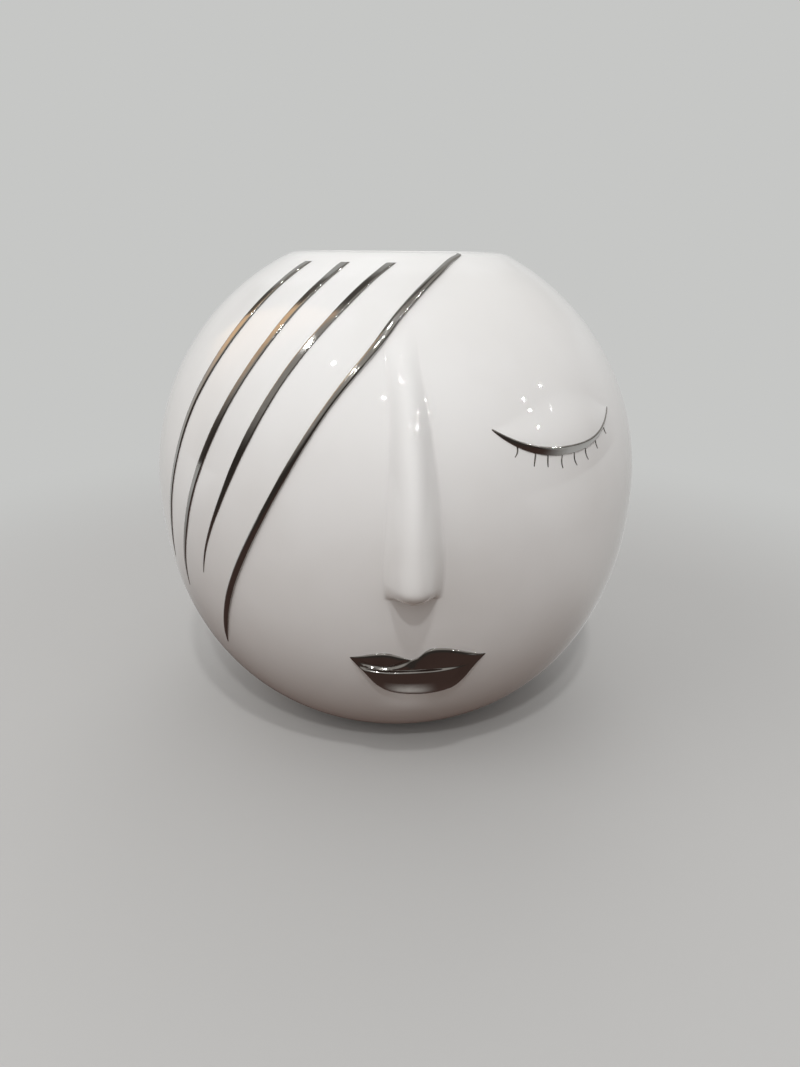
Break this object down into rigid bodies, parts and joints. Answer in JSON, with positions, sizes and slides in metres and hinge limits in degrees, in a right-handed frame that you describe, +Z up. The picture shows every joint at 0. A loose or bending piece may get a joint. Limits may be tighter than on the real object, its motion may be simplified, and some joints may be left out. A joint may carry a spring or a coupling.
{
  "type": "face vase",
  "caption": "Globe-shaped glazed vase with a relief nose, lips, closed eye and sweeping strands of hair in silver lustre.",
  "frame": {"origin": "middle of the foot, on the surface that the vase stands on", "axes": "+Z up along the axis of the globe, -Y towards the viewer of the face, +X to the side of the closed eye"},
  "size_m": [0.2648, 0.2805, 0.25],
  "materials": {
    "white_glaze": "gloss",
    "silver_lustre": "polished"
  },
  "bodies": {
    "root": {"vessel": "white_glaze", "nose": "white_glaze", "eyelid": "white_glaze", "eyelid_line": "silver_lustre", "eyelash_1": "silver_lustre", "eyelash_2": "silver_lustre", "eyelash_3": "silver_lustre", "eyelash_4": "silver_lustre", "eyelash_5": "silver_lustre", "eyelash_6": "silver_lustre", "eyelash_7": "silver_lustre", "eyelash_8": "silver_lustre", "upper_lip": "silver_lustre", "lower_lip": "silver_lustre", "hair_strand_1": "silver_lustre", "hair_strand_2": "silver_lustre", "hair_strand_3": "silver_lustre", "hair_strand_4": "silver_lustre"}
  },
  "joints": []
}
